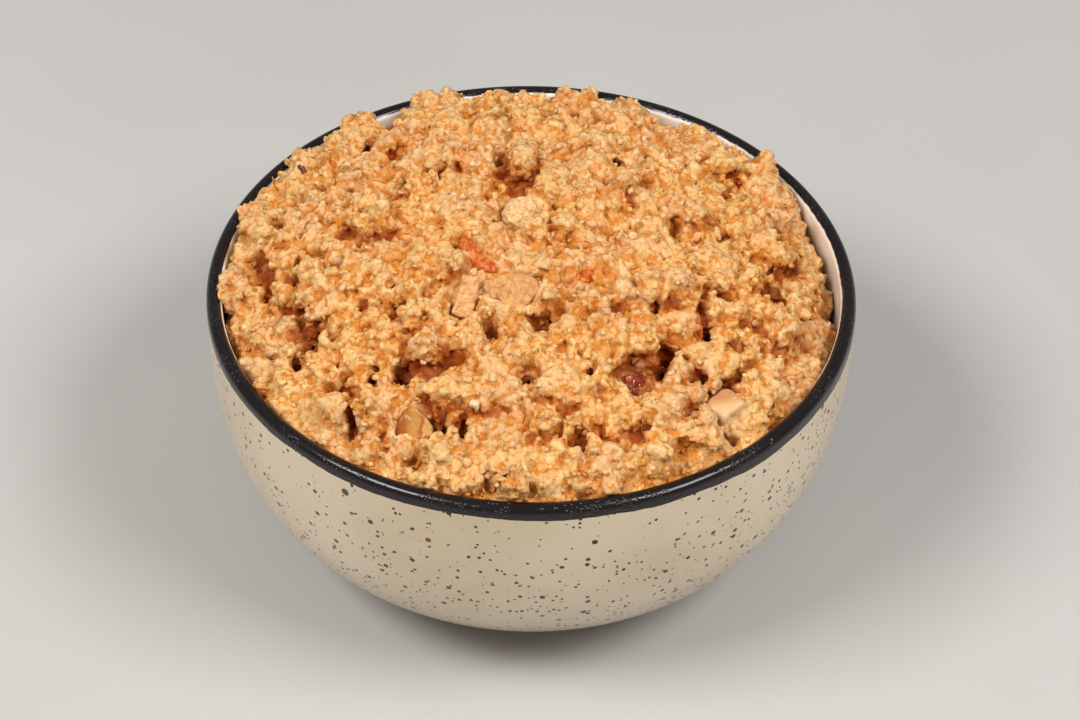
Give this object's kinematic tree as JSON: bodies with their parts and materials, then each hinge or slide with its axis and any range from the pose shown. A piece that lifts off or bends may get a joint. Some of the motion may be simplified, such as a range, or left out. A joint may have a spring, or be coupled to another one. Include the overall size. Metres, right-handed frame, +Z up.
{
  "type": "bowl of halwa",
  "caption": "Round deep stoneware bowl with a foot ring and a dark-edged rim, heaped with crumbly golden halwa in uneven clumps, with chopped nut pieces and a raisin in its surface.",
  "frame": {"origin": "centre of the bowl's foot ring, on the surface the bowl stands on", "axes": "+Z up along the bowl's axis; -Y towards the side the picture was taken from, +X to its right"},
  "size_m": [0.14, 0.14, 0.0827],
  "materials": {
    "cream_glaze": "gloss",
    "halwa": "satin",
    "cashew_chunk": "satin",
    "almond_piece": "satin",
    "raisin_piece": "gloss",
    "nut_flake_1": "satin",
    "nut_flake_2": "satin",
    "coated_nut": "satin"
  },
  "bodies": {
    "root": {"bowl": "cream_glaze", "halwa": "halwa", "cashew_chunk": "cashew_chunk", "almond_piece": "almond_piece", "raisin_piece": "raisin_piece", "nut_flake_1": "nut_flake_1", "nut_flake_2": "nut_flake_2", "coated_nut": "coated_nut"}
  },
  "joints": []
}
